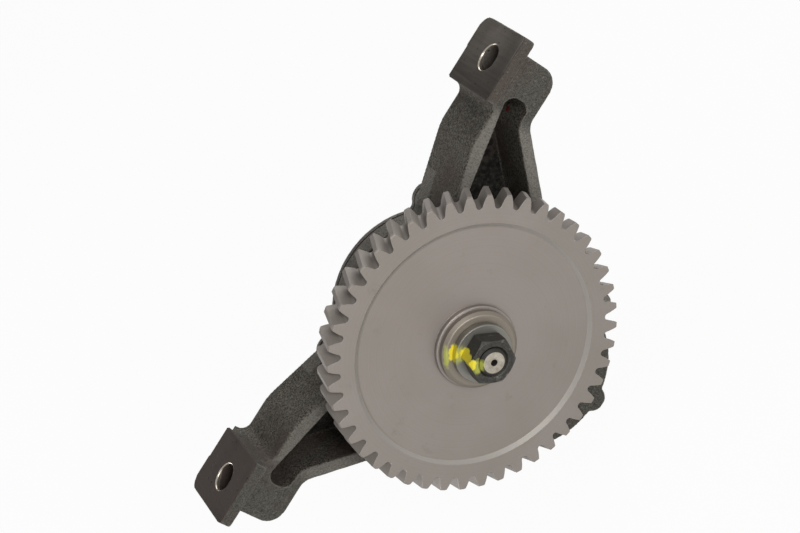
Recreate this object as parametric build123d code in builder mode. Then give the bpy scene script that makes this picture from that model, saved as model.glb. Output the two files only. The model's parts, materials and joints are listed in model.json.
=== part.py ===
from build123d import *
import math
import os

os.makedirs("parts", exist_ok=True)

# Engine oil pump: a bracket casting with two feet carries a pair of pumping rotors,
# and a large helical gear on the front of the drive shaft turns them.
# Lengths are millimetres. The origin is midway between the two foot holes, in the plane
# of the foot faces. X runs from foot to foot, Y runs away from the gear, Z is up.

# Feet, placed from their bolt holes
hole_spacing = 235.0
foot_hole_r = 6.75
foot_hole_chamfer = 0.4
foot_inner_reach = 17.5
foot_outer_reach = 16.9
foot_front_y = -19.2
foot_rear_y = 24.2
foot_taper = 0.4
foot_thick = 7.0
foot_front_corner_r = 1.6
foot_rear_corner_r = 6.5
foot_inner_corner_r = 2.0
foot_root_r = 5.0

# Arms, a channel open to the front that ends in a block under each foot
arm_front_y = -8.0
arm_web = 8.0
arm_root_x = 24.0
arm_edge_r = 2.2
block_outer_reach = 10.0
block_bottom_z = -34.3
block_outer_r = 9.0
block_inner_r = 9.0
flange_top_z = -13.6
flange_bend_reach = 38.0
flange_bend_r = 25.0
flange_root_rise = 27.5
flange_tip_thick = 1.8
flange_root_thick = 2.8
lower_flange_reach = 16.6
lower_flange_drop = 1.8
lower_flange_thick = 6.2
pocket_tip_wall = 2.5
pocket_tip_z = -29.3
pocket_tip_r = 5.0
pocket_low_r = 10.0

# Pumping rotors and their chambers
drive_drop = 58.0
joint_y = 31.0
rotor_teeth = 11
rotor_module = 4.5
rotor_spread = 0.5
rotor_len = 29.9
rotor_end_gap = 0.05
rotor_tip_gap = 0.08
rotor_backlash = 0.05
root_depth = 1.25
pressure_angle = 20.0

# Casting body round the chambers
body_front_y = -15.0
upper_wall = 14.2
lower_wall = 12.0
upper_lip = 3.0
lower_lip = 3.2
joint_flange_thick = 12.0
outline_blend_r = 4.0
front_boss_r = 19.0
front_boss_len = 3.5

# Shafts and bushes
shaft_r = 11.0
running_gap = 0.04
seat_gap = 0.02
bush_wall = 2.5
rear_bush_len = 14.0
shaft_end_gap = 2.0
shaft_chamfer = 1.0
idler_shaft_r = 8.0
idler_seat_len = 10.0
idler_shaft_chamfer = 0.8

# Drive gear
gear_teeth = 46
gear_module = 3.0
gear_helix = 16.5
gear_phase = 46.2
gear_front_y = -35.0
gear_width = 14.0
gear_tip_chamfer = 0.7
gear_root_rise = 1.0
gear_backlash = 0.1
web_recess = 1.8
web_outer_r = 61.3
web_inner_r = 10.0
hub_r = 19.4
hub_top_r = 17.7
hub_top_y = -40.5
hub_back_y = -19.5
hub_cone_len = 1.5
hub_step_width = 1.3
hub_step_len = 2.7
hub_step_r = 0.8
hub_edge_r = 1.0
gear_seat_r = 9.0

# Gear fastening
washer_r = 14.65
washer_thick = 4.0
washer_hole_gap = 0.3
washer_chamfer = 0.4
nut_flats = 21.0
nut_thick = 10.2
nut_turn = 2.0
nut_front_chamfer = 1.4
nut_back_chamfer = 1.0
nut_mouth_chamfer = 0.9
thread_r = 6.9
thread_gap = 0.05
thread_run_out = 1.0
thread_chamfer = 1.2
shaft_end_y = -55.5
centre_drill_r = 1.65
centre_drill_depth = 5.0

# Keys
gear_key_width = 5.0
gear_key_disc_r = 8.0
gear_key_height = 6.5
gear_key_sink = 4.5
gear_key_y = -30.0
rotor_key_width = 6.0
rotor_key_height = 6.0
rotor_key_sink = 3.5
rotor_key_len = 22.0

# Cover and its fastening
cover_thick = 11.0
cover_rim = 4.0
cover_edge = 0.6
platform_lip = 2.8
platform_edge = 1.5
rear_boss_r = 19.0
rear_boss_cap = 4.0
idler_boss_r = 14.0
idler_boss_len = 5.0
screw_r = 3.0
screw_len = 12.0
screw_hole_extra = 2.0
screw_head_flats = 10.0
screw_head_thick = 3.5
screw_head_chamfer = 0.5
screw_washer_r = 4.8
screw_washer_thick = 0.5
screw_hole_gap = 0.3
screw_margin = 9.2
side_screw_drop = 2.0
upper_lobe_r = 8.0
upper_lobe_distance = 51.8
upper_lobe_angle = 30.8
lower_lobe_r = 6.5
lower_lobe_distance = 39.6
lower_lobe_shift = 2.2
dowel_r = 3.0
dowel_len = 12.0
dowel_sink = 0.8
dowel_hole_extra = 0.5
dowel_chamfer = 0.5
dowel_angle = 50.0

# Ports: pressure on the right, and the wider suction port on the left
port_stand_out = 9.7
port_block_below = 17.0
port_block_above = 22.0
port_block_r = 5.0
port_screw_r = 3.0
port_screw_depth = 12.0
port_bore_len = 21.0
port_step = 2.5
pressure_r = 8.5
pressure_y = 6.5
pressure_rise = 4.0
pressure_screw_dy = 34.0
pressure_screw_dz = 24.0
suction_r = 10.5
suction_y = 8.0
suction_rise = 2.5
suction_screw_dy = 36.0
suction_screw_dz = 28.0
port_pocket_x = 26.0
port_pocket_height = 34.0
port_pocket_corner_r = 4.0
seal_margin = 2.9
seal_section_r = 1.3
seal_groove_gap = 0.1
seal_sunk_share = 0.8

# Relief valve in the cover
valve_boss_r = 13.0
valve_r = 7.0
valve_stand_out = 5.0
valve_seat_x = -8.0
valve_plug_face_x = -47.0
valve_boss_end_x = 26.0
valve_passage_r = 5.0
valve_inlet_x = 18.0
valve_inlet_r = 4.0
valve_outlet_x = -14.0
valve_outlet_r = 3.5
piston_len = 20.0
piston_gap = 0.03
piston_chamfer = 0.6
piston_bore_r = 4.9
piston_bore_depth = 14.0
plug_thread_r = 9.0
plug_thread_len = 10.0
plug_end_gap = 0.5
plug_head_flats = 22.0
plug_head_thick = 8.0
plug_washer_r = 12.0
plug_washer_thick = 1.5
plug_washer_gap = 0.2
plug_spigot_r = 2.6
plug_spigot_len = 4.0
spring_mean_r = 3.7
spring_wire_r = 0.6
spring_turns = 6

# Places that follow from the driving sizes
foot_hole_x = hole_spacing / 2
foot_inner_x = foot_hole_x - foot_inner_reach
foot_outer_x = foot_hole_x + foot_outer_reach
block_outer_x = foot_hole_x + block_outer_reach
flange_bend_x = foot_hole_x - flange_bend_reach
lower_flange_start_x = foot_hole_x - lower_flange_reach
web_front_y = joint_y - arm_web
axis_gap = rotor_module * rotor_teeth + rotor_spread
drive_z = -drive_drop
idler_z = drive_z - axis_gap
waist_z = (drive_z + idler_z) / 2
rotor_tip_r = rotor_module * (rotor_teeth / 2 + 1)
chamber_r = rotor_tip_r + rotor_tip_gap
chamber_floor_y = joint_y - rotor_len - 2 * rotor_end_gap
rotor_front_y = chamber_floor_y + rotor_end_gap
rotor_rear_y = rotor_front_y + rotor_len
upper_body_r = chamber_r + upper_wall
lower_body_r = chamber_r + lower_wall
upper_flange_r = upper_body_r + upper_lip
lower_flange_r = lower_body_r + lower_lip
front_boss_y = body_front_y - front_boss_len
cover_back_y = joint_y + cover_thick
cover_rim_y = joint_y + cover_rim
platform_r = chamber_r + platform_lip
bush_r = shaft_r + running_gap + bush_wall
idler_bush_r = idler_shaft_r + running_gap + bush_wall
shaft_rear_y = joint_y + rear_bush_len - shaft_end_gap / 2
rear_bore_end_y = shaft_rear_y + shaft_end_gap
idler_shaft_front_y = chamber_floor_y - idler_seat_len
idler_shaft_rear_y = joint_y + idler_seat_len
drive_axis = Axis((0, 0, drive_z), (0, 1, 0))
gear_back_y = gear_front_y + gear_width
hub_step_y = gear_front_y + web_recess - hub_step_len
washer_face_y = hub_top_y - washer_thick
nut_face_y = washer_face_y - nut_thick
port_face_x = lower_body_r + port_stand_out
port_block_bottom_z = idler_z - port_block_below
port_block_height = port_block_below + port_block_above
port_block_top_z = port_block_bottom_z + port_block_height
flange_root_z = drive_z + flange_root_rise
lower_flange_rise = block_bottom_z - port_block_top_z + lower_flange_drop
lower_flange_slope = lower_flange_rise / (lower_flange_start_x - port_face_x)
pressure_z = idler_z + pressure_rise
suction_z = idler_z + suction_rise
seal_groove_depth = 2 * seal_section_r * seal_sunk_share
valve_y = cover_back_y + valve_stand_out
valve_z = waist_z
plug_inner_x = valve_plug_face_x + plug_thread_len - plug_end_gap
plug_seat_x = valve_plug_face_x - plug_washer_thick
piston_tail_x = valve_seat_x - piston_len

# Cover screws and dowels round both chambers
screw_distance = chamber_r + screw_margin
screw_spots = [
    (-screw_distance, drive_z - side_screw_drop),
    (screw_distance, drive_z - side_screw_drop),
    (-screw_distance, idler_z),
    (screw_distance, idler_z),
]
lobe_spots = [
    (
        side * upper_lobe_distance * math.cos(math.radians(upper_lobe_angle)),
        drive_z + upper_lobe_distance * math.sin(math.radians(upper_lobe_angle)),
    )
    for side in (-1, 1)
]
bottom_spot = (lower_lobe_shift, idler_z - lower_lobe_distance)
all_screw_spots = screw_spots + lobe_spots + [bottom_spot]
dowel_rear_y = cover_rim_y - dowel_sink
dowel_front_y = dowel_rear_y - dowel_len
dowel_spots = [
    (
        side * screw_distance * math.cos(math.radians(dowel_angle)),
        centre_z + side * screw_distance * math.sin(math.radians(dowel_angle)),
    )
    for side, centre_z in ((-1, idler_z), (1, drive_z))
]

# Distances used only to pick edges and to let a cut run past a face
near = 0.01
beyond = 1.0


def front_plane(y):
    """Plane across the shafts at the given Y, looking to the front, with Z up."""
    return Plane.XZ.offset(-y)


def shaft_plane(y, z):
    """Like front_plane, with the sketch centred on the shaft at the given height."""
    return Plane(origin=(0, y, z), x_dir=(1, 0, 0), z_dir=(0, -1, 0))


def side_plane(x):
    """Plane across the X axis at the given X, with sketch axes Y and Z."""
    return Plane.YZ.offset(x)


def save(builder, name):
    """Label a finished piece and write it."""
    builder.part.label = name
    export_step(builder.part, f"parts/{name}.step")


def corner(sketch, x, y):
    """The vertex of a sketch that lies nearest to a point."""
    return sketch.vertices().sort_by_distance(Vector(x, y, 0))[0]


def polar(radius, angle):
    """A point at an angle in radians."""
    return (radius * math.cos(angle), radius * math.sin(angle))


def involute(angle):
    return math.tan(angle) - angle


def half_tooth(teeth, pitch_r, base_r, backlash, radius):
    """Half the angle that an involute tooth takes up at a radius."""
    at_pitch = math.pi / (2 * teeth) - backlash / (2 * pitch_r)
    pressure = math.acos(base_r / pitch_r)
    at_radius = math.acos(min(1.0, base_r / radius))
    return at_pitch + involute(pressure) - involute(at_radius)


def gear_outline(teeth, pitch_r, base_r, tip_r, root_r, backlash, phase, root_rise=0.0):
    """Closed outline of a gear: each flank is an arc through three involute points.

    The flanks start a little above the root, and one arc joins them through the root.
    """
    start_r = max(root_r + root_rise, base_r)
    middle_r = (start_r + tip_r) / 2
    radii = (start_r, middle_r, tip_r)
    halves = [half_tooth(teeth, pitch_r, base_r, backlash, r) for r in radii]
    pitch = 2 * math.pi / teeth
    with BuildLine() as outline:
        for tooth in range(teeth):
            mid = math.radians(phase) + tooth * pitch
            rising = [polar(r, mid - h) for r, h in zip(radii, halves)]
            falling = [polar(r, mid + h) for r, h in zip(radii, halves)]
            gap_start = mid + halves[0]
            gap_end = mid + pitch - halves[0]
            ThreePointArc(rising[0], rising[1], rising[2])
            ThreePointArc(rising[2], polar(tip_r, mid), falling[2])
            ThreePointArc(falling[2], falling[1], falling[0])
            if root_rise > 0:
                ThreePointArc(falling[0], polar(root_r, mid + pitch / 2), polar(start_r, gap_end))
            else:
                Line(falling[0], polar(root_r, gap_start))
                ThreePointArc(
                    polar(root_r, gap_start), polar(root_r, mid + pitch / 2), polar(root_r, gap_end)
                )
                Line(polar(root_r, gap_end), polar(start_r, gap_end))
    make_face(outline.edges())


def flange_top_at(x):
    """Height of the upper flange's top face, which slopes down towards the body."""
    if x >= flange_bend_x:
        return flange_top_z
    slope = (flange_top_z - flange_root_z) / (flange_bend_x - arm_root_x)
    return flange_top_z - (flange_bend_x - x) * slope


def lower_flange_at(x):
    """Height of the lower flange's outer face, which runs to the top of the port block."""
    return block_bottom_z - (lower_flange_start_x - x) * lower_flange_slope


# Arm: end block, upper and lower flange and rear web, made once and mirrored
lower_inner_shift = lower_flange_thick * math.hypot(1, lower_flange_slope)
pocket_tip_x = foot_hole_x - foot_hole_r - pocket_tip_wall
pocket_low_rise = lower_inner_shift - (pocket_tip_z - block_bottom_z)
pocket_low_x = lower_flange_start_x - pocket_low_rise / lower_flange_slope
pocket_root_z = flange_top_at(arm_root_x) - flange_root_thick
with BuildPart() as arm:
    with BuildSketch(front_plane(joint_y)) as arm_outline:
        with BuildLine():
            Polyline(
                (arm_root_x, flange_top_at(arm_root_x)),
                (flange_bend_x, flange_top_z),
                (foot_inner_x, flange_top_z),
                (foot_inner_x, -foot_thick),
                (block_outer_x, -foot_thick),
                (block_outer_x, block_bottom_z),
                (lower_flange_start_x, block_bottom_z),
                (arm_root_x, lower_flange_at(arm_root_x)),
                close=True,
            )
        make_face()
        fillet(corner(arm_outline, foot_inner_x, flange_top_z), radius=foot_root_r)
        fillet(corner(arm_outline, flange_bend_x, flange_top_z), radius=flange_bend_r)
        fillet(corner(arm_outline, block_outer_x, block_bottom_z), radius=block_outer_r)
        fillet(corner(arm_outline, lower_flange_start_x, block_bottom_z), radius=block_inner_r)
    extrude(amount=joint_y - arm_front_y)
    with BuildSketch(front_plane(web_front_y)) as pocket_outline:
        with BuildLine():
            Polyline(
                (arm_root_x, pocket_root_z),
                (pocket_tip_x, flange_top_z - flange_tip_thick),
                (pocket_tip_x, pocket_tip_z),
                (pocket_low_x, pocket_tip_z),
                (arm_root_x, lower_flange_at(arm_root_x) + lower_inner_shift),
                close=True,
            )
        make_face()
        fillet(corner(pocket_outline, pocket_tip_x, flange_top_z - flange_tip_thick), radius=pocket_tip_r)
        fillet(corner(pocket_outline, pocket_tip_x, pocket_tip_z), radius=pocket_tip_r)
        fillet(corner(pocket_outline, pocket_low_x, pocket_tip_z), radius=pocket_low_r)
    extrude(amount=web_front_y - arm_front_y, mode=Mode.SUBTRACT)
    front_edges = arm.edges().filter_by_position(Axis.Y, arm_front_y - near, arm_front_y + near)
    upper_edges = [
        edge
        for edge in front_edges
        if edge.center().X < foot_inner_x
        and edge.center().X > arm_root_x + beyond
        and edge.center().Z > flange_top_at(edge.center().X) - beyond
    ]
    fillet(upper_edges, radius=arm_edge_r)

# Foot plate on top of the end block
with BuildPart() as foot:
    with BuildSketch(Plane.XY) as foot_outline:
        with BuildLine():
            Polyline(
                (foot_inner_x, foot_front_y),
                (foot_outer_x - foot_taper, foot_front_y),
                (foot_outer_x, foot_rear_y),
                (foot_inner_x, foot_rear_y - foot_taper),
                close=True,
            )
        make_face()
        fillet(corner(foot_outline, foot_outer_x, foot_rear_y), radius=foot_rear_corner_r)
        fillet(corner(foot_outline, foot_outer_x - foot_taper, foot_front_y), radius=foot_front_corner_r)
        fillet(corner(foot_outline, foot_inner_x, foot_rear_y - foot_taper), radius=foot_inner_corner_r)
    extrude(amount=-foot_thick)


def body_shape(upper_r, lower_r):
    """The casting's oblong section: a circle round each shaft, joined by a straight waist."""
    with Locations((0, drive_z)):
        Circle(upper_r)
    with Locations((0, idler_z)):
        Circle(lower_r)
    with Locations((0, waist_z)):
        Rectangle(2 * lower_r, axis_gap)


def joint_shape():
    """Outline of the joint face, shared by the casting and the cover."""
    body_shape(upper_flange_r, lower_flange_r)
    with Locations(lobe_spots):
        Circle(upper_lobe_r)
    with Locations(bottom_spot):
        Circle(lower_lobe_r)


def chamber_shape():
    """The two rotor chambers and the port pockets on both sides of the mesh."""
    with Locations((0, drive_z), (0, idler_z)):
        Circle(chamber_r)
    with Locations((0, waist_z)):
        RectangleRounded(2 * port_pocket_x, port_pocket_height, port_pocket_corner_r)


def cut_port(side, bore_r, y, z, screw_dy, screw_dz):
    """Stepped bore, four tapped holes and the seal groove of the port on one side."""
    inwards = -side
    with BuildSketch(side_plane(side * port_face_x)) as bore:
        with Locations((y, z)):
            Circle(bore_r)
    extrude(bore.sketch, amount=inwards * port_bore_len, mode=Mode.SUBTRACT)
    with BuildSketch(side_plane(side * port_face_x)) as passage:
        with Locations((y, z)):
            Circle(bore_r - port_step)
    extrude(passage.sketch, amount=inwards * (port_face_x - port_pocket_x), mode=Mode.SUBTRACT)
    with BuildSketch(side_plane(side * port_face_x)) as screw_holes:
        with Locations((y, z)):
            with GridLocations(screw_dy, screw_dz, 2, 2):
                Circle(port_screw_r)
    extrude(screw_holes.sketch, amount=inwards * port_screw_depth, mode=Mode.SUBTRACT)
    ring_r = bore_r + seal_margin
    with BuildSketch(side_plane(side * port_face_x)) as groove:
        with Locations((y, z)):
            Circle(ring_r + seal_section_r + seal_groove_gap)
            Circle(ring_r - seal_section_r - seal_groove_gap, mode=Mode.SUBTRACT)
    extrude(groove.sketch, amount=inwards * seal_groove_depth, mode=Mode.SUBTRACT)


# Housing: arms, feet, body, port blocks and front bearing boss in one casting
with BuildPart() as pump_housing:
    add(arm.part)
    add(foot.part)
    mirror(arm.part, about=Plane.YZ)
    mirror(foot.part, about=Plane.YZ)
    with BuildSketch(front_plane(joint_y)):
        body_shape(upper_body_r, lower_body_r)
        with Locations(bottom_spot):
            Circle(lower_lobe_r)
    extrude(amount=joint_y - body_front_y)
    with BuildSketch(front_plane(joint_y)) as flange_outline:
        joint_shape()
        fillet(flange_outline.vertices(), radius=outline_blend_r)
    extrude(amount=joint_flange_thick)
    with BuildSketch(front_plane(joint_y)) as port_blocks:
        with Locations((0, port_block_bottom_z)):
            Rectangle(2 * port_face_x, port_block_height, align=(Align.CENTER, Align.MIN))
        lower_corners = port_blocks.vertices().group_by(Axis.Y)[0]
        fillet(lower_corners, radius=port_block_r)
    extrude(amount=joint_y - body_front_y)
    with BuildSketch(front_plane(body_front_y)):
        with Locations((0, drive_z)):
            Circle(front_boss_r)
    extrude(amount=front_boss_len)

    # Rotor chambers, bearing bore and idler shaft seat
    with BuildSketch(front_plane(joint_y)):
        chamber_shape()
    extrude(amount=joint_y - chamber_floor_y, mode=Mode.SUBTRACT)
    with BuildSketch(front_plane(chamber_floor_y)):
        with Locations((0, drive_z)):
            Circle(bush_r + seat_gap)
    extrude(amount=chamber_floor_y - front_boss_y, mode=Mode.SUBTRACT)
    with BuildSketch(front_plane(chamber_floor_y)):
        with Locations((0, idler_z)):
            Circle(idler_shaft_r + seat_gap)
    extrude(amount=idler_seat_len, mode=Mode.SUBTRACT)

    cut_port(1, pressure_r, pressure_y, pressure_z, pressure_screw_dy, pressure_screw_dz)
    cut_port(-1, suction_r, suction_y, suction_z, suction_screw_dy, suction_screw_dz)

    # Tapped holes for the cover screws and dowel holes in the joint face
    with BuildSketch(front_plane(joint_y)):
        with Locations(all_screw_spots):
            Circle(screw_r + seat_gap)
    extrude(amount=screw_len - cover_rim + screw_hole_extra, mode=Mode.SUBTRACT)
    with BuildSketch(front_plane(joint_y)):
        with Locations(dowel_spots):
            Circle(dowel_r + seat_gap)
    extrude(amount=joint_y - dowel_front_y + dowel_hole_extra, mode=Mode.SUBTRACT)

    # Foot holes with a chamfered mouth
    with BuildSketch(Plane.XY):
        with Locations((-foot_hole_x, 0), (foot_hole_x, 0)):
            Circle(foot_hole_r)
    extrude(amount=block_bottom_z, mode=Mode.SUBTRACT)
    foot_mouths = (
        pump_housing.edges()
        .filter_by(GeomType.CIRCLE)
        .filter_by_position(Axis.Z, -near, near)
        .filter_by(lambda edge: abs(edge.radius - foot_hole_r) < near)
    )
    chamfer(foot_mouths, length=foot_hole_chamfer)
save(pump_housing, "pump_housing")

# Rear cover: a rim for the screws, a raised platform over the chambers, the rear bearing,
# the idler shaft's seat and the relief valve's body
with BuildPart() as rear_cover:
    with BuildSketch(front_plane(joint_y)) as cover_outline:
        joint_shape()
        fillet(cover_outline.vertices(), radius=outline_blend_r)
    extrude(amount=-cover_rim)
    rim = rear_cover.faces().sort_by(Axis.Y)[-1].outer_wire().edges()
    chamfer(rim, length=cover_edge)
    with BuildSketch(front_plane(joint_y)):
        body_shape(platform_r, platform_r)
    extrude(amount=-cover_thick)
    platform_rim = rear_cover.faces().sort_by(Axis.Y)[-1].outer_wire().edges()
    fillet(platform_rim, radius=platform_edge)
    with BuildSketch(front_plane(joint_y)):
        with Locations((0, drive_z)):
            Circle(rear_boss_r)
    extrude(amount=-(rear_bore_end_y + rear_boss_cap - joint_y))
    with BuildSketch(front_plane(joint_y)):
        with Locations((0, idler_z)):
            Circle(idler_boss_r)
    extrude(amount=-(cover_thick + idler_boss_len))
    with BuildSketch(side_plane(valve_plug_face_x)):
        with Locations((valve_y, valve_z)):
            Circle(valve_boss_r)
        with Locations(((joint_y + valve_y) / 2, valve_z)):
            Rectangle(valve_y - joint_y, 2 * valve_boss_r)
    extrude(amount=valve_boss_end_x - valve_plug_face_x)

    # Bearing bore and idler shaft seat, both blind
    with BuildSketch(front_plane(joint_y)):
        with Locations((0, drive_z)):
            Circle(bush_r + seat_gap)
    extrude(amount=-(rear_bore_end_y - joint_y), mode=Mode.SUBTRACT)
    with BuildSketch(front_plane(joint_y)):
        with Locations((0, idler_z)):
            Circle(idler_shaft_r + seat_gap)
    extrude(amount=-idler_seat_len, mode=Mode.SUBTRACT)

    # Relief valve: plug thread, piston bore, seat, and the holes to both port pockets
    with BuildSketch(side_plane(valve_plug_face_x)):
        with Locations((valve_y, valve_z)):
            Circle(plug_thread_r + seat_gap)
    extrude(amount=plug_thread_len, mode=Mode.SUBTRACT)
    with BuildSketch(side_plane(valve_plug_face_x)):
        with Locations((valve_y, valve_z)):
            Circle(valve_r)
    extrude(amount=valve_seat_x - valve_plug_face_x, mode=Mode.SUBTRACT)
    with BuildSketch(side_plane(valve_seat_x)):
        with Locations((valve_y, valve_z)):
            Circle(valve_passage_r)
    extrude(amount=valve_inlet_x + valve_inlet_r - valve_seat_x, mode=Mode.SUBTRACT)
    with BuildSketch(front_plane(joint_y)):
        with Locations((valve_inlet_x, valve_z)):
            Circle(valve_inlet_r)
        with Locations((valve_outlet_x, valve_z)):
            Circle(valve_outlet_r)
    extrude(amount=-(valve_y - joint_y), mode=Mode.SUBTRACT)

    # Screw and dowel holes
    with BuildSketch(front_plane(joint_y)):
        with Locations(all_screw_spots):
            Circle(screw_r + screw_hole_gap)
    extrude(amount=-cover_rim, mode=Mode.SUBTRACT)
    with BuildSketch(front_plane(joint_y)):
        with Locations(dowel_spots):
            Circle(dowel_r + seat_gap)
    extrude(amount=-cover_rim, mode=Mode.SUBTRACT)
save(rear_cover, "rear_cover")

# Cover screws, each a shank, a washer face and a hexagon head
with BuildPart() as cover_screws:
    with BuildSketch(front_plane(cover_rim_y)):
        with Locations(all_screw_spots):
            Circle(screw_r)
    extrude(amount=screw_len)
    with BuildSketch(front_plane(cover_rim_y)):
        with Locations(all_screw_spots):
            Circle(screw_washer_r)
    extrude(amount=-screw_washer_thick)
    with BuildSketch(front_plane(cover_rim_y + screw_washer_thick)):
        with Locations(all_screw_spots):
            RegularPolygon(screw_head_flats / 2, 6, major_radius=False)
    extrude(amount=-screw_head_thick)
    head_faces = cover_screws.faces().group_by(Axis.Y)[-1]
    chamfer(head_faces.edges(), length=screw_head_chamfer)
save(cover_screws, "cover_screws")

with BuildPart() as cover_dowels:
    with BuildSketch(front_plane(dowel_rear_y)):
        with Locations(dowel_spots):
            Circle(dowel_r)
    extrude(amount=dowel_len)
    chamfer(cover_dowels.edges().filter_by(GeomType.CIRCLE), length=dowel_chamfer)
save(cover_dowels, "cover_dowels")


def tube(outer_r, inner_r, z, front_y, rear_y):
    """A plain tube along Y, for the bushes and washers."""
    with BuildSketch(front_plane(rear_y)) as ring:
        with Locations((0, z)):
            Circle(outer_r)
            Circle(inner_r, mode=Mode.SUBTRACT)
    extrude(ring.sketch, amount=rear_y - front_y)


# Bushes
with BuildPart() as front_bush:
    tube(bush_r, shaft_r + running_gap, drive_z, front_boss_y, chamber_floor_y)
save(front_bush, "front_bush")

with BuildPart() as rear_bush:
    tube(bush_r, shaft_r + running_gap, drive_z, joint_y, joint_y + rear_bush_len)
save(rear_bush, "rear_bush")

with BuildPart() as idler_bush:
    tube(idler_bush_r, idler_shaft_r + running_gap, idler_z, rotor_front_y, rotor_front_y + rotor_len)
save(idler_bush, "idler_bush")

with BuildPart() as idler_shaft:
    with BuildSketch(front_plane(idler_shaft_rear_y)):
        with Locations((0, idler_z)):
            Circle(idler_shaft_r)
    extrude(amount=idler_shaft_rear_y - idler_shaft_front_y)
    chamfer(idler_shaft.edges().filter_by(GeomType.CIRCLE), length=idler_shaft_chamfer)
save(idler_shaft, "idler_shaft")

# Pumping rotors: spur gears that mesh at the waist of the chambers
rotor_pitch_r = rotor_module * rotor_teeth / 2
rotor_base_r = rotor_pitch_r * math.cos(math.radians(pressure_angle))
rotor_root_r = rotor_pitch_r - root_depth * rotor_module
rotor_key_top = shaft_r - rotor_key_sink + rotor_key_height


def rotor_shape(z, phase):
    """Outline of one rotor, centred on its shaft, with a tooth at the phase angle."""
    with BuildSketch(shaft_plane(rotor_rear_y, z)) as section:
        gear_outline(
            rotor_teeth, rotor_pitch_r, rotor_base_r, rotor_tip_r, rotor_root_r, rotor_backlash, phase
        )
    extrude(section.sketch, amount=rotor_len)


with BuildPart() as drive_rotor:
    rotor_shape(drive_z, -90.0)
    with BuildSketch(front_plane(rotor_rear_y)):
        with Locations((0, drive_z)):
            Circle(shaft_r + seat_gap)
        with Locations((0, drive_z + rotor_key_top / 2)):
            Rectangle(rotor_key_width + 2 * seat_gap, rotor_key_top + 2 * running_gap)
    extrude(amount=rotor_len, mode=Mode.SUBTRACT)
save(drive_rotor, "drive_rotor")

with BuildPart() as idler_rotor:
    rotor_shape(idler_z, 90.0 + 180.0 / rotor_teeth)
    with BuildSketch(front_plane(rotor_rear_y)):
        with Locations((0, idler_z)):
            Circle(idler_bush_r + seat_gap)
    extrude(amount=rotor_len, mode=Mode.SUBTRACT)
save(idler_rotor, "idler_rotor")

# Drive shaft: thread, gear seat, shoulder and journals, with both key slots
rotor_key_y = (rotor_front_y + rotor_rear_y) / 2
thread_start_y = hub_top_y + thread_run_out
key_disc_z = drive_z + gear_seat_r - gear_key_sink + gear_key_disc_r
with BuildPart() as drive_shaft:
    with BuildSketch(Plane.YZ):
        with BuildLine():
            Polyline(
                (shaft_end_y, drive_z),
                (shaft_end_y, drive_z + thread_r - thread_chamfer),
                (shaft_end_y + thread_chamfer, drive_z + thread_r),
                (thread_start_y, drive_z + thread_r),
                (thread_start_y, drive_z + gear_seat_r),
                (hub_back_y, drive_z + gear_seat_r),
                (hub_back_y, drive_z + shaft_r),
                (shaft_rear_y - shaft_chamfer, drive_z + shaft_r),
                (shaft_rear_y, drive_z + shaft_r - shaft_chamfer),
                (shaft_rear_y, drive_z),
                close=True,
            )
        make_face()
    revolve(axis=drive_axis)
    with BuildSketch(Plane.YZ):
        with BuildLine():
            Polyline(
                (shaft_end_y, drive_z),
                (shaft_end_y, drive_z + centre_drill_r),
                (shaft_end_y + centre_drill_depth, drive_z),
                close=True,
            )
        make_face()
    revolve(axis=drive_axis, mode=Mode.SUBTRACT)
    with BuildSketch(side_plane(-gear_key_width / 2 - seat_gap)):
        with Locations((gear_key_y, key_disc_z)):
            Circle(gear_key_disc_r + seat_gap)
    extrude(amount=gear_key_width + 2 * seat_gap, mode=Mode.SUBTRACT)
    with BuildSketch(Plane.XY.offset(drive_z + shaft_r - rotor_key_sink - seat_gap)):
        with Locations((0, rotor_key_y)):
            Rectangle(rotor_key_width + 2 * seat_gap, rotor_key_len + 2 * seat_gap)
    extrude(amount=rotor_key_height, mode=Mode.SUBTRACT)
save(drive_shaft, "drive_shaft")

with BuildPart() as rotor_key:
    with BuildSketch(Plane.XY.offset(drive_z + shaft_r - rotor_key_sink)):
        with Locations((0, rotor_key_y)):
            Rectangle(rotor_key_width, rotor_key_len)
    extrude(amount=rotor_key_height)
save(rotor_key, "rotor_key")

# Half-moon key of the gear
gear_key_top_z = drive_z + gear_seat_r - gear_key_sink + gear_key_height
with BuildPart() as gear_key:
    with BuildSketch(side_plane(-gear_key_width / 2)):
        with Locations((gear_key_y, key_disc_z)):
            Circle(gear_key_disc_r)
        with Locations((gear_key_y, gear_key_top_z + gear_key_disc_r)):
            Rectangle(4 * gear_key_disc_r, 2 * gear_key_disc_r, mode=Mode.SUBTRACT)
    extrude(amount=gear_key_width)
save(gear_key, "gear_key")

# Drive gear: the tooth outline turns with depth, which gives the helix
transverse_module = gear_module / math.cos(math.radians(gear_helix))
gear_pitch_r = transverse_module * gear_teeth / 2
transverse_angle = math.atan(math.tan(math.radians(pressure_angle)) / math.cos(math.radians(gear_helix)))
gear_base_r = gear_pitch_r * math.cos(transverse_angle)
gear_tip_r = gear_pitch_r + gear_module
gear_root_r = gear_pitch_r - root_depth * gear_module
gear_twist = math.degrees(gear_width * math.tan(math.radians(gear_helix)) / gear_pitch_r)


def gear_section(y, phase):
    """One section of the toothed rim."""
    with BuildSketch(shaft_plane(y, drive_z)) as section:
        gear_outline(
            gear_teeth,
            gear_pitch_r,
            gear_base_r,
            gear_tip_r,
            gear_root_r,
            gear_backlash,
            phase,
            root_rise=gear_root_rise,
        )
    return section.sketch


def turned_cut(points):
    """Cut a ring whose section is given as points of Y and radius."""
    with BuildSketch(Plane.YZ) as section:
        with BuildLine():
            Polyline(*[(y, drive_z + r) for y, r in points], close=True)
        make_face()
    revolve(section.sketch, axis=drive_axis, mode=Mode.SUBTRACT)


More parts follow.
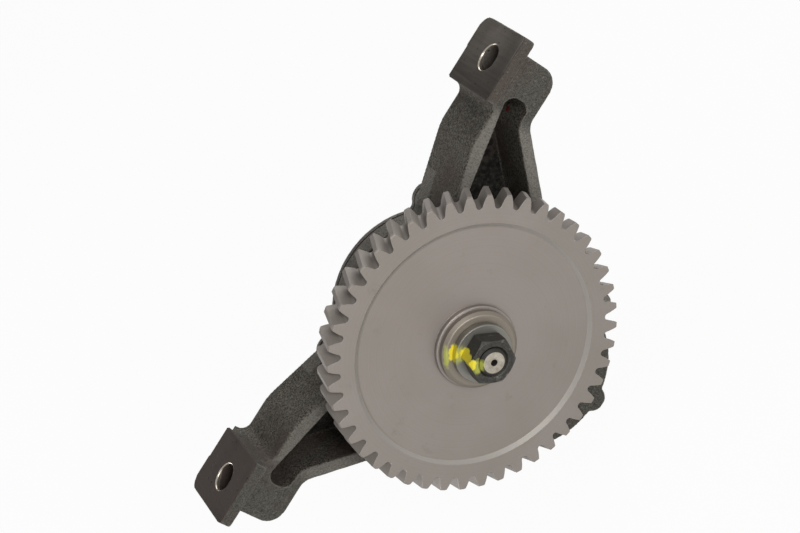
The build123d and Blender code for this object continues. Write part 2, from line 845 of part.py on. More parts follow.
with BuildPart() as drive_gear:
    front_teeth = gear_section(gear_front_y, gear_phase)
    back_teeth = gear_section(gear_back_y, gear_phase - gear_twist)
    loft([front_teeth, back_teeth], ruled=True)
    for face_y, inward in ((gear_front_y, 1), (gear_back_y, -1)):
        turned_cut(
            [
                (face_y, gear_tip_r - gear_tip_chamfer),
                (face_y - inward * beyond, gear_tip_r - gear_tip_chamfer - beyond),
                (face_y - inward * beyond, gear_tip_r + beyond),
                (face_y + inward * (gear_tip_chamfer + beyond), gear_tip_r + beyond),
            ]
        )
        turned_cut(
            [
                (face_y - inward * beyond, web_inner_r),
                (face_y + inward * web_recess, web_inner_r),
                (face_y + inward * web_recess, web_outer_r - web_recess),
                (face_y, web_outer_r),
                (face_y - inward * beyond, web_outer_r),
            ]
        )
    with BuildSketch(Plane.YZ) as hub_section:
        with BuildLine():
            Polyline(
                (hub_top_y, drive_z),
                (hub_top_y, drive_z + hub_top_r),
                (hub_top_y + hub_cone_len, drive_z + hub_r),
                (hub_step_y, drive_z + hub_r),
                (hub_step_y, drive_z + hub_r + hub_step_width),
                (gear_back_y - web_recess, drive_z + hub_r + hub_step_width),
                (hub_back_y, drive_z + hub_r),
                (hub_back_y, drive_z),
                close=True,
            )
        make_face()
        fillet(corner(hub_section, hub_top_y, drive_z + hub_top_r), radius=hub_edge_r)
        fillet(corner(hub_section, hub_step_y, drive_z + hub_r + hub_step_width), radius=hub_step_r)
    revolve(axis=drive_axis)
    with BuildSketch(front_plane(hub_back_y)):
        with Locations((0, drive_z)):
            Circle(gear_seat_r + seat_gap)
        with Locations((0, (drive_z + gear_key_top_z + running_gap) / 2)):
            Rectangle(gear_key_width + 2 * seat_gap, gear_key_top_z + running_gap - drive_z)
    extrude(amount=hub_back_y - hub_top_y, mode=Mode.SUBTRACT)
save(drive_gear, "drive_gear")

# Washer and nut that hold the gear on the shaft
with BuildPart() as gear_washer:
    tube(washer_r, thread_r + washer_hole_gap, drive_z, washer_face_y, hub_top_y)
    outer_edges = gear_washer.edges().filter_by(GeomType.CIRCLE).sort_by(SortBy.RADIUS)[-2:]
    chamfer(outer_edges, length=washer_chamfer)
save(gear_washer, "gear_washer")

nut_corner_r = nut_flats / math.sqrt(3)
with BuildPart() as gear_nut:
    with BuildSketch(front_plane(washer_face_y)):
        with Locations((0, drive_z)):
            RegularPolygon(nut_flats / 2, 6, major_radius=False, rotation=nut_turn)
    extrude(amount=nut_thick)
    with BuildSketch(Plane.YZ):
        with BuildLine():
            Polyline(
                (nut_face_y, drive_z),
                (nut_face_y, drive_z + nut_flats / 2),
                (nut_face_y + nut_front_chamfer, drive_z + nut_corner_r),
                (washer_face_y - nut_back_chamfer, drive_z + nut_corner_r),
                (washer_face_y, drive_z + nut_flats / 2),
                (washer_face_y, drive_z),
                close=True,
            )
        make_face()
    revolve(axis=drive_axis, mode=Mode.INTERSECT)
    with BuildSketch(front_plane(washer_face_y)):
        with Locations((0, drive_z)):
            Circle(thread_r + thread_gap)
    extrude(amount=nut_thick, mode=Mode.SUBTRACT)
    mouth = (
        gear_nut.edges()
        .filter_by(GeomType.CIRCLE)
        .filter_by(lambda edge: abs(edge.radius - thread_r - thread_gap) < near)
        .sort_by(Axis.Y)[0]
    )
    chamfer(mouth, length=nut_mouth_chamfer)
save(gear_nut, "gear_nut")

# Relief valve pieces: piston on its seat, spring, plug and sealing washer
with BuildPart() as relief_piston:
    with BuildSketch(side_plane(piston_tail_x)):
        with Locations((valve_y, valve_z)):
            Circle(valve_r - piston_gap)
    extrude(amount=piston_len)
    chamfer(relief_piston.edges().filter_by(GeomType.CIRCLE), length=piston_chamfer)
    with BuildSketch(side_plane(piston_tail_x)):
        with Locations((valve_y, valve_z)):
            Circle(piston_bore_r)
    extrude(amount=piston_bore_depth, mode=Mode.SUBTRACT)
save(relief_piston, "relief_piston")

with BuildPart() as relief_plug:
    with BuildSketch(side_plane(plug_seat_x)):
        with Locations((valve_y, valve_z)):
            Circle(plug_thread_r)
    extrude(amount=plug_inner_x - plug_seat_x)
    with BuildSketch(side_plane(plug_inner_x)):
        with Locations((valve_y, valve_z)):
            Circle(plug_spigot_r)
    extrude(amount=plug_spigot_len)
    with BuildSketch(side_plane(plug_seat_x)):
        with Locations((valve_y, valve_z)):
            RegularPolygon(plug_head_flats / 2, 6, major_radius=False)
    extrude(amount=-plug_head_thick)
save(relief_plug, "relief_plug")

with BuildPart() as relief_plug_washer:
    with BuildSketch(side_plane(valve_plug_face_x)):
        with Locations((valve_y, valve_z)):
            Circle(plug_washer_r)
            Circle(plug_thread_r + plug_washer_gap, mode=Mode.SUBTRACT)
    extrude(amount=-plug_washer_thick)
save(relief_plug_washer, "relief_plug_washer")

spring_start_x = plug_inner_x + spring_wire_r
spring_end_x = piston_tail_x + piston_bore_depth - spring_wire_r
spring_len = spring_end_x - spring_start_x
with BuildPart() as relief_spring:
    with BuildLine() as coil:
        Helix(
            pitch=spring_len / spring_turns,
            height=spring_len,
            radius=spring_mean_r,
            center=(spring_start_x, valve_y, valve_z),
            direction=(1, 0, 0),
        )
    with BuildSketch(Plane(origin=coil.line @ 0, z_dir=coil.line % 0)):
        Circle(spring_wire_r)
    sweep(is_frenet=True)
save(relief_spring, "relief_spring")


# Ring seals in the port faces
def port_seal(side, bore_r, y, z):
    """A ring seal that lies in the groove of one port face."""
    seal_x = side * (port_face_x - seal_groove_depth + seal_section_r)
    with BuildSketch(Plane.XY.offset(z)) as section:
        with Locations((seal_x, y + bore_r + seal_margin)):
            Circle(seal_section_r)
    revolve(section.sketch, axis=Axis((0, y, z), (1, 0, 0)))


with BuildPart() as pressure_port_seal:
    port_seal(1, pressure_r, pressure_y, pressure_z)
save(pressure_port_seal, "pressure_port_seal")

with BuildPart() as suction_port_seal:
    port_seal(-1, suction_r, suction_y, suction_z)
save(suction_port_seal, "suction_port_seal")
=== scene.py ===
import json
import math

import bmesh
import bpy
import numpy as np
from mathutils import Matrix, Vector, noise


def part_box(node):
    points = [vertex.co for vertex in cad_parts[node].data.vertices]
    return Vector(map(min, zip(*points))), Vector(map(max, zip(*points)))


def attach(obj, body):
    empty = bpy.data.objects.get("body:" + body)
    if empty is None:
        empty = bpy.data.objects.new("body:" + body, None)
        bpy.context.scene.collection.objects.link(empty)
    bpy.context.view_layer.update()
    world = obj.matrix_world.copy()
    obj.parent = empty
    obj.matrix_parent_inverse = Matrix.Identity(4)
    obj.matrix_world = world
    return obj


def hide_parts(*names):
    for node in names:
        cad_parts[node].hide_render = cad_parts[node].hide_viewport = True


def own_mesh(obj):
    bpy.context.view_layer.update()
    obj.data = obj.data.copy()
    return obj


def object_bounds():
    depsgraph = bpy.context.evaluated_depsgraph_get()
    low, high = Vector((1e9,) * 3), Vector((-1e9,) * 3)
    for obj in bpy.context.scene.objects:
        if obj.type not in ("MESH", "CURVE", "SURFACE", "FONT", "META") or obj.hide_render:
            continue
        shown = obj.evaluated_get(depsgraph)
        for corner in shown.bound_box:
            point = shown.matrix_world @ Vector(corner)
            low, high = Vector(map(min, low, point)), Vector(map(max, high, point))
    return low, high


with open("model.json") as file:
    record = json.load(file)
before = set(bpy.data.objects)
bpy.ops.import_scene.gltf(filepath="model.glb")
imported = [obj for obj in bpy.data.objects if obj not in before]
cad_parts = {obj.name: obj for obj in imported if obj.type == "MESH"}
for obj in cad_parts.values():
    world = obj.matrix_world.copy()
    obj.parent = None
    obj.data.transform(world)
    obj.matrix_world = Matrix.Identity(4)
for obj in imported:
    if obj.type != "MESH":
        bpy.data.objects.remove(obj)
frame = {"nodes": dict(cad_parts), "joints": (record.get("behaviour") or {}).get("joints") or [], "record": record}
cad_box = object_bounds()
nodes = frame["nodes"]

MM = 0.001

# Camera, from the photograph
CAMERA_PLACE = (0.10530, -0.83538, 0.46414)
CAMERA_RIGHT = (0.53166361, -0.37934205, -0.75725387)
CAMERA_UP = (0.84143513, 0.33849084, 0.42120171)
CAMERA_BACK = (0.09654398, -0.86111762, 0.49915499)
CAMERA_LENS = 91.78
SENSOR_WIDTH = 36.0
CLIP_NEAR = 0.01
CLIP_FAR = 100.0

# Places on the pump that the frame gives
shaft_low, shaft_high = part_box("drive_shaft")
DRIVE_X = (shaft_low.x + shaft_high.x) / 2
DRIVE_Z = (shaft_low.z + shaft_high.z) / 2
idler_low, idler_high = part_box("idler_shaft")
IDLER_Z = (idler_low.z + idler_high.z) / 2
washer_low, washer_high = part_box("gear_washer")
HUB_FACE_Y = washer_high.y
WASHER_FACE_Y = washer_low.y
NUT_FACE_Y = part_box("gear_nut")[0].y
rotor_low, rotor_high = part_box("drive_rotor")
ROTOR_R = (rotor_high.x - rotor_low.x) / 2
HOUSING_JOINT_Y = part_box("pump_housing")[1].y
COVER_JOINT_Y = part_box("rear_cover")[0].y
mounts = {mount["name"]: mount for mount in frame["record"]["mounts"]}
FOOT_HOLE_X = mounts["foot_bolts"]["dims"]["spacing_x_mm"] * MM / 2
FOOT_HOLE_R = mounts["foot_bolts"]["dims"]["hole_r_mm"] * MM
PORT_FACE_X = abs(mounts["pressure_flange_bolts"]["pos_m"][0])

# The gear's front face, and the floor and the edge of the recess in it, from the part's source
GEAR_FACE_Y = -35.0 * MM
WEB_FLOOR_Y = -33.2 * MM
RECESS_R = 61.3 * MM


def srgb(red, green, blue):
    """A colour written as 0 to 255, turned into the linear values that shaders use."""

    def linear(value):
        value /= 255.0
        return value / 12.92 if value <= 0.04045 else ((value + 0.055) / 1.055) ** 2.4

    return (linear(red), linear(green), linear(blue), 1.0)


# Colours

CAST_DARK = srgb(66, 65, 60)
CAST_LIGHT = srgb(96, 94, 88)
# Grain colours of up-facing faces, darker and lighter than on the sides: painted raking shade and light
CAST_TOP_RAKING_SHADE = srgb(42, 40, 35)
CAST_TOP_RAKING_LIGHT = srgb(124, 119, 110)
CAST_STAIN = srgb(84, 74, 68)
CAST_SPECK = srgb(128, 125, 118)
# Dark pits, also used as painted shade in the hollows between the arms' rims
CAST_PIT_AND_SHADE = srgb(26, 25, 23)
# Light rubbed iron, also used as painted highlight on edges and front rims
CAST_RUBBED_AND_HIGHLIGHT = srgb(134, 130, 123)
MACHINED_DARK = srgb(49, 44, 39)
MACHINED_LIGHT = srgb(116, 109, 102)
MACHINED_BROWN = srgb(79, 68, 64)
MACHINED_STAIN = srgb(48, 43, 39)
# Bright cut metal, also the painted highlight on one side of each foot hole's rim
BRIGHT_CUT_AND_HIGHLIGHT = srgb(170, 162, 150)
GEAR_GREY = srgb(139, 131, 125)
GEAR_COOL = srgb(134, 127, 120)
# Smudges, also used as the painted shade on the upper part of the recess ledge's floor
GEAR_SMUDGE_AND_SHADE = srgb(112, 105, 97)
HUB_FILM = srgb(124, 116, 104)
WASHER_GREY = srgb(124, 122, 115)
WASHER_SHADE = srgb(98, 96, 90)
STEEL_BRIGHT = srgb(178, 175, 168)
STEEL_GREY = srgb(134, 132, 127)
STEEL_SHADE = srgb(96, 94, 90)
SHAFT_LIGHT = srgb(176, 169, 155)
SHAFT_DARK = srgb(138, 131, 117)
# Painted shade round the shaft's end face and in its centre hole
THREAD_AND_HOLE_SHADE = srgb(34, 32, 27)
OXIDE_BLACK = srgb(36, 35, 31)
OXIDE_WORN = srgb(104, 101, 94)
ZINC = srgb(152, 151, 144)
ZINC_WARM = srgb(143, 137, 121)
BRONZE = srgb(176, 142, 92)
BRONZE_DARK = srgb(120, 92, 58)
COPPER = srgb(184, 118, 84)
COPPER_DARK = srgb(122, 76, 56)
RUBBER = srgb(28, 28, 29)
RUBBER_DUST = srgb(56, 55, 54)
PAINT_YELLOW = srgb(222, 203, 46)
PAINT_THIN = srgb(176, 180, 70)
PAINT_RED = srgb(120, 30, 26)
FLOOR_PALE = srgb(232, 232, 232)
WHITE = (1.0, 1.0, 1.0, 1.0)


class Shader:
    """Makes a material and adds linked nodes to it."""

    # The Mix node's sockets for plain numbers and for colours
    NUMBER_A, NUMBER_B = 2, 3
    COLOUR_A, COLOUR_B, COLOUR_OUT = 6, 7, 2
    BEVEL_SAMPLES = 6
    # The cosine of the angle between the real and the softened normal, on faces and on edges
    FACE_COSINE, EDGE_COSINE = 0.99, 0.86

    def __init__(self, name):
        self.material = bpy.data.materials.new(name)
        self.material.use_nodes = True
        self.tree = self.material.node_tree
        self.bsdf = self.tree.nodes["Principled BSDF"]
        self.coords = self.new("ShaderNodeTexCoord").outputs["Object"]
        self.x, self.y, self.z = self.split(self.coords)

    def new(self, kind):
        return self.tree.nodes.new(kind)

    def set(self, node, key, value):
        """Put a value on a socket, or link it where it is another node's output."""
        if isinstance(value, bpy.types.NodeSocket):
            self.tree.links.new(value, node.inputs[key])
        else:
            node.inputs[key].default_value = value

    def split(self, vector):
        node = self.new("ShaderNodeSeparateXYZ")
        self.set(node, 0, vector)
        return node.outputs[0], node.outputs[1], node.outputs[2]

    def join(self, x=0.0, y=0.0, z=0.0):
        node = self.new("ShaderNodeCombineXYZ")
        for index, value in enumerate((x, y, z)):
            self.set(node, index, value)
        return node.outputs[0]

    def math(self, operation, a, b=0.0):
        node = self.new("ShaderNodeMath")
        node.operation = operation
        self.set(node, 0, a)
        self.set(node, 1, b)
        return node.outputs[0]

    def add(self, a, b):
        return self.math("ADD", a, b)

    def times(self, a, b):
        return self.math("MULTIPLY", a, b)

    def noise(self, scale, detail, roughness, vector=None):
        node = self.new("ShaderNodeTexNoise")
        self.set(node, "Vector", self.coords if vector is None else vector)
        self.set(node, "Scale", scale)
        self.set(node, "Detail", detail)
        self.set(node, "Roughness", roughness)
        return node.outputs[0]

    def ramp(self, value, low, high, start=0.0, end=1.0):
        """Map value from low..high to start..end, held at both ends."""
        node = self.new("ShaderNodeMapRange")
        for index, number in enumerate((value, low, high, start, end)):
            self.set(node, index, number)
        return node.outputs[0]

    def mix(self, factor, a, b):
        """A colour between a and b."""
        node = self.new("ShaderNodeMix")
        node.data_type = "RGBA"
        self.set(node, 0, factor)
        self.set(node, self.COLOUR_A, a)
        self.set(node, self.COLOUR_B, b)
        return node.outputs[self.COLOUR_OUT]

    def between(self, factor, a, b):
        """A plain number between a and b."""
        node = self.new("ShaderNodeMix")
        self.set(node, 0, factor)
        self.set(node, self.NUMBER_A, a)
        self.set(node, self.NUMBER_B, b)
        return node.outputs[0]

    def attribute(self, name):
        node = self.new("ShaderNodeAttribute")
        node.attribute_name = name
        return node.outputs["Fac"]

    def radius(self, centre_x, centre_z):
        """Distance from an axis along Y, in metres."""
        dx = self.math("SUBTRACT", self.x, centre_x)
        dz = self.math("SUBTRACT", self.z, centre_z)
        return self.math("SQRT", self.add(self.times(dx, dx), self.times(dz, dz)))

    def rounded(self, radius):
        """The surface normal, softened close to sharp edges."""
        node = self.new("ShaderNodeBevel")
        node.samples = self.BEVEL_SAMPLES
        self.set(node, "Radius", radius)
        return node.outputs[0]

    def edges(self, radius):
        """1 on sharp edges and 0 on faces."""
        node = self.new("ShaderNodeVectorMath")
        node.operation = "DOT_PRODUCT"
        self.set(node, 0, self.rounded(radius))
        self.set(node, 1, self.new("ShaderNodeNewGeometry").outputs["Normal"])
        return self.ramp(node.outputs["Value"], self.FACE_COSINE, self.EDGE_COSINE)

    def bump(self, height, distance, strength, normal=None):
        node = self.new("ShaderNodeBump")
        self.set(node, "Height", height)
        self.set(node, "Distance", distance)
        self.set(node, "Strength", strength)
        if normal is not None:
            self.set(node, "Normal", normal)
        return node.outputs[0]

    def finish(self, **inputs):
        """Fill the Principled shader's inputs, and return the material."""
        for key, value in inputs.items():
            self.set(self.bsdf, key.replace("_", " "), value)
        return self.material


# Materials. Noise scales are in cycles per metre, and bump distances in metres. A ramp's second and
# third numbers are the range that it reads, and the next two, if given, are what it turns that into.

GRAIN = 1150.0
COARSE_GRAIN = GRAIN * 0.35
CAST_SPECKS = GRAIN * 0.6
CAST_PITS = GRAIN * 0.45
STAIN = 26.0
CUT_STREAKS = 600.0
CUT_SPOTS = 420.0
STREAK_STRETCH = 0.05
CAST_BUMP = 0.0012
CAST_METAL = 0.1
CAST_SPECULAR = 0.06
RIM_METAL = 0.8
RIM_ROUGHNESS = 0.3
# Where, along X, the foot tops turn from brown to grey, and where the right one gets lighter
BROWN_TO_GREY = (20.0 * MM, -20.0 * MM)
PALE_FOOT = (102.0 * MM, 130.0 * MM)


def cast_iron(name):
    """Sand-cast iron: fine grain, stains, ribs and edges lightened as rubbed wear and painted highlight, painted
    shade in the hollows, painted raking light and shade on the grain of up-facing faces, and machined faces.
    """
    s = Shader(name)
    grain = s.noise(GRAIN, 3.0, 0.7)
    coarse = s.noise(COARSE_GRAIN, 3.0, 0.6)
    stains = s.noise(STAIN, 3.0, 0.55)
    # Up-facing faces get a wider grain contrast: painted raking light and shade
    raking_lit_top = s.ramp(s.split(s.new("ShaderNodeNewGeometry").outputs["Normal"])[2], 0.1, 0.6)
    dark = s.mix(raking_lit_top, CAST_DARK, CAST_TOP_RAKING_SHADE)
    light = s.mix(raking_lit_top, CAST_LIGHT, CAST_TOP_RAKING_LIGHT)
    colour = s.mix(s.ramp(grain, 0.38, 0.62), dark, light)
    colour = s.mix(s.ramp(stains, 0.46, 0.62, 0.0, 0.75), colour, CAST_STAIN)
    specks = s.ramp(s.noise(CAST_SPECKS, 1.0, 0.5), 0.64, 0.74, 0.0, 0.4)
    colour = s.mix(specks, colour, CAST_SPECK)
    pits = s.ramp(s.noise(CAST_PITS, 2.0, 0.5), 0.40, 0.32, 0.0, 0.4)
    colour = s.mix(pits, colour, CAST_PIT_AND_SHADE)
    # Edges and front rims lightened: partly rubbed wear, partly painted highlight
    rubbed_highlight = s.math("MAXIMUM", s.times(s.attribute("edge"), 0.8), s.attribute("rim_wear_and_highlight"))
    rubbed_highlight = s.times(rubbed_highlight, s.ramp(grain, 0.32, 0.6, 0.4, 1.0))
    colour = s.mix(rubbed_highlight, colour, CAST_RUBBED_AND_HIGHLIGHT)
    # Painted shade in the hollows between the arms' rims
    hollow_shade = s.times(s.attribute("deep_shade"), s.ramp(coarse, 0.4, 0.6, 0.95, 0.6))
    colour = s.mix(hollow_shade, colour, CAST_PIT_AND_SHADE)

    cut = s.attribute("machined")
    streaks = s.noise(CUT_STREAKS, 2.0, 0.5, vector=s.join(s.x, s.times(s.y, STREAK_STRETCH), s.z))
    shade = s.add(s.ramp(streaks, 0.3, 0.7, 0.0, 0.3), s.ramp(s.x, *PALE_FOOT, 0.0, 0.7))
    cut_colour = s.mix(shade, MACHINED_DARK, MACHINED_LIGHT)
    cut_colour = s.mix(s.ramp(s.x, *BROWN_TO_GREY, 0.0, 0.8), cut_colour, MACHINED_BROWN)
    cut_colour = s.mix(s.ramp(stains, 0.48, 0.66, 0.0, 0.5), cut_colour, MACHINED_STAIN)
    spots = s.ramp(s.noise(CUT_SPOTS, 2.0, 0.6), 0.66, 0.70, 0.0, 0.75)
    cut_colour = s.mix(spots, cut_colour, CAST_PIT_AND_SHADE)
    # The bright cut rims of the foot holes, wider on one side as a painted highlight
    rim = foot_hole_rim(s)
    cut_colour = s.mix(rim, cut_colour, BRIGHT_CUT_AND_HIGHLIGHT)
    colour = s.mix(cut, colour, cut_colour)
    colour = s.mix(s.attribute("dab"), colour, PAINT_RED)

    cut_rough = s.between(rim, s.ramp(streaks, 0.3, 0.7, 0.36, 0.5), RIM_ROUGHNESS)
    height = s.add(grain, s.times(coarse, 0.9))
    height = s.between(cut, height, s.add(s.times(streaks, 0.1), s.times(spots, -0.5)))
    return s.finish(
        Base_Color=colour,
        Metallic=s.between(s.times(cut, rim), CAST_METAL, RIM_METAL),
        Specular_IOR_Level=CAST_SPECULAR,
        Roughness=s.between(cut, s.ramp(grain, 0.3, 0.7, 0.5, 0.72), cut_rough),
        Normal=s.bump(height, CAST_BUMP, 1.0),
    )


RIM_R = (FOOT_HOLE_R + 0.55 * MM, FOOT_HOLE_R + 0.4 * MM)
RIM_DEPTH = (0.5 * MM, 2.0 * MM)
RIM_DEPTH_FADE = 0.3 * MM
# Half the width of the strip, in the middle of the pump, in which one foot's side turns to the other's
SIDE_STRIP = 1.0 * MM
# The way in which the side of each foot hole with the wider painted highlight lies, along X and Y
HIGHLIGHT_SIDE_WAY = (-0.85, 0.5)


def foot_hole_rim(s):
    """1 on the mouth of each foot hole, a bright cut rim that reaches deeper on one side as a painted highlight.
    """
    side = s.ramp(s.x, -SIDE_STRIP, SIDE_STRIP, -1.0, 1.0)
    across = s.math("SUBTRACT", s.x, s.times(side, FOOT_HOLE_X))
    distance = s.math("SQRT", s.add(s.times(across, across), s.times(s.y, s.y)))
    ring = s.ramp(distance, *RIM_R)
    towards = s.add(s.times(across, HIGHLIGHT_SIDE_WAY[0]), s.times(s.y, HIGHLIGHT_SIDE_WAY[1]))
    # The rim reaches deeper on the side with the painted highlight
    rubbed_highlight = s.ramp(towards, 0.3 * FOOT_HOLE_R, 0.8 * FOOT_HOLE_R, *RIM_DEPTH)
    depth = s.add(s.z, rubbed_highlight)
    return s.times(ring, s.ramp(depth, -RIM_DEPTH_FADE, 0.0))


# Witness paint, as thick dabs and thin smears: the angle round the shaft in degrees, the distance
# from its axis, the Y, and the half sizes along the circle, outwards and along Y, in millimetres
PAINT_DABS = (
    (119.0, 14.6, HUB_FACE_Y / MM - 1.5, (5.0, 2.5, 3.2)),
    (112.0, 11.0, WASHER_FACE_Y / MM - 2.2, (3.7, 2.9, 3.4)),
    (119.0, 11.2, WASHER_FACE_Y / MM - 6.2, (3.4, 3.0, 3.8)),
    (124.0, 10.6, WASHER_FACE_Y / MM - 9.6, (3.1, 2.2, 2.2)),
)
PAINT_SMEARS = (
    (119.0, 12.6, WASHER_FACE_Y / MM, (4.8, 3.6, 3.2)),
    (131.0, 7.8, NUT_FACE_Y / MM, (4.2, 3.6, 2.4)),
    (128.0, 17.4, HUB_FACE_Y / MM + 1.0, (6.5, 1.6, 3.4)),
)


def dab_distance(s, dab):
    """Distance from the middle of a dab, where 1 is its edge."""
    angle, radius, y, sizes = dab
    turn = math.radians(angle)
    out_x, out_z = math.cos(turn), math.sin(turn)
    along_size, out_size, depth_size = (size * MM for size in sizes)
    dx = s.math("SUBTRACT", s.x, DRIVE_X + radius * MM * out_x)
    dz = s.math("SUBTRACT", s.z, DRIVE_Z + radius * MM * out_z)
    along = s.math("SUBTRACT", s.times(dz, out_x / along_size), s.times(dx, out_z / along_size))
    out = s.add(s.times(dx, out_x / out_size), s.times(dz, out_z / out_size))
    depth = s.times(s.math("SUBTRACT", s.y, y * MM), 1.0 / depth_size)
    squares = [s.times(value, value) for value in (along, out, depth)]
    return s.math("SQRT", s.add(s.add(squares[0], squares[1]), squares[2]))


def nearest_dab(s, dabs):
    nearest = dab_distance(s, dabs[0])
    for dab in dabs[1:]:
        nearest = s.math("MINIMUM", nearest, dab_distance(s, dab))
    return nearest


PAINT_WOBBLE = 420.0
PAINT_ROUGHNESS = 0.42


def with_paint(s, colour, rough, metallic, height, distance, normal):
    """Lay the witness paint over a finish, and end the material."""
    wobble = s.times(s.math("SUBTRACT", s.noise(PAINT_WOBBLE, 3.0, 0.6), 0.5), 0.9)
    nearest = s.add(nearest_dab(s, PAINT_DABS), wobble)
    thick = s.ramp(nearest, 1.0, 0.86)
    thin = s.ramp(s.add(nearest_dab(s, PAINT_SMEARS), wobble), 1.0, 0.6, 0.0, 0.72)
    mark = s.math("MAXIMUM", thick, thin)
    yellow = s.mix(s.ramp(nearest, 1.0, 0.7), PAINT_THIN, PAINT_YELLOW)
    return s.finish(
        Base_Color=s.mix(mark, colour, yellow),
        Metallic=s.between(mark, metallic, 0.0),
        Roughness=s.between(mark, rough, PAINT_ROUGHNESS),
        Normal=s.bump(s.add(height, s.times(thick, 1.2)), distance, 0.7, normal),
    )


TURNED_RINGS = 1500.0
TURNED_BROAD = 16.0
TURNED_FINE = 900.0
TURNED_SPOTS = 95.0
TURNED_EDGE = 0.25 * MM
TURNED_BUMP = 0.00006
TOOTH_ROUGHNESS = 0.66
TOOTH_METAL = 0.15
# The radii and the Ys between which each finish of the gear fades in: the hub's oily film, the ledge
# round the recess, from its inner and its outer side, the ledge's floor and wall, and the teeth
HUB_FILM_R = (20.5 * MM, 19.0 * MM)
HUB_FILM_Y = (GEAR_FACE_Y - 1.5 * MM, GEAR_FACE_Y - 3.0 * MM)
LEDGE_INNER_R = (RECESS_R - 2.9 * MM, RECESS_R - 2.1 * MM)
LEDGE_OUTER_R = (RECESS_R + 0.3 * MM, RECESS_R + 0.1 * MM)
LEDGE_FLOOR_Y = (WEB_FLOOR_Y - 0.15 * MM, WEB_FLOOR_Y - 0.02 * MM)
LEDGE_WALL_Y = (GEAR_FACE_Y + 0.02 * MM, GEAR_FACE_Y + 0.15 * MM)
TEETH_R = (66.5 * MM, 67.5 * MM)
TEETH_Y = (GEAR_FACE_Y + 0.1 * MM, GEAR_FACE_Y + 0.4 * MM)
# How far above the shaft the painted shade on the ledge's floor is darkest
LEDGE_SHADE_RISE = 30.0 * MM


def turned_steel(name, light, dark, smudge_and_shade, film, rough=(0.38, 0.52), metallic=0.55):
    """Turned steel: fine rings round the drive shaft, an oily film, faint stains, edges lightened as wear and
    painted highlight, and on the ledge round the recess painted shade and a painted highlight.
    """
    s = Shader(name)
    radius = s.radius(DRIVE_X, DRIVE_Z)
    ring = s.noise(TURNED_RINGS, 3.0, 0.7, vector=s.join(radius, s.times(s.y, 0.3)))
    broad = s.noise(TURNED_BROAD, 3.0, 0.5)
    fine = s.noise(TURNED_FINE, 2.0, 0.5)
    colour = s.mix(s.ramp(broad, 0.4, 0.6), light, dark)
    colour = s.mix(s.ramp(ring, 0.3, 0.75, 0.0, 0.12), colour, smudge_and_shade)
    hub = s.times(s.ramp(radius, *HUB_FILM_R), s.ramp(broad, 0.4, 0.6, 0.9, 0.6))
    hub = s.times(hub, s.ramp(s.y, *HUB_FILM_Y))
    colour = s.mix(hub, colour, film)
    patchy = s.ramp(fine, 0.4, 0.6, 0.4, 1.0)
    spots = s.times(s.ramp(s.noise(TURNED_SPOTS, 4.0, 0.6), 0.64, 0.76, 0.0, 0.45), patchy)
    colour = s.mix(spots, colour, smudge_and_shade)

    # The ledge round the recess: painted shade on the upper part of its floor, and a wall lightened as a painted
    # highlight
    ledge = s.times(s.ramp(radius, *LEDGE_INNER_R), s.ramp(radius, *LEDGE_OUTER_R))
    web = s.times(ledge, s.ramp(s.y, *LEDGE_FLOOR_Y))
    # Painted shade on the upper part of the ledge's floor
    ledge_shade = s.times(web, s.ramp(s.z, DRIVE_Z, DRIVE_Z + LEDGE_SHADE_RISE, 0.0, 0.7))
    colour = s.mix(ledge_shade, colour, smudge_and_shade)
    wall = s.times(ledge, s.ramp(s.y, *LEDGE_WALL_Y, 0.0, 0.5))
    wall = s.times(wall, s.ramp(s.y, *reversed(LEDGE_FLOOR_Y)))
    # Edges lightened as wear and painted highlight, and the ledge wall as painted highlight
    edge = s.math("MAXIMUM", s.times(s.edges(TURNED_EDGE), 0.55), wall)
    colour = s.mix(edge, colour, STEEL_BRIGHT)

    teeth = s.times(s.ramp(radius, *TEETH_R), s.ramp(s.y, *TEETH_Y))
    roughness = s.add(s.ramp(ring, 0.3, 0.7, *rough), s.times(spots, 0.15))
    roughness = s.between(teeth, roughness, TOOTH_ROUGHNESS)
    metallic = s.between(teeth, metallic, TOOTH_METAL)
    height = s.add(s.times(ring, 0.5), s.times(fine, 0.25))
    return with_paint(s, colour, roughness, metallic, height, TURNED_BUMP, s.rounded(TURNED_EDGE))


SHAFT_FINE = 700.0
SHAFT_PATCHES = 330.0
SHAFT_BUMP = 0.00008
SHAFT_METAL = 0.6
DARK_RING_ROUGHNESS = 0.55
DARK_RING_METAL = 0.2
# The radii of the bright end face and of the centre hole in it, and how fast the painted shade round them fades
SHAFT_FACE_R = 5.2 * MM
CENTRE_HOLE_R = 1.75 * MM
RING_FADE = 0.15 * MM
SHAFT_FRONT_FADE = 1.0 * MM


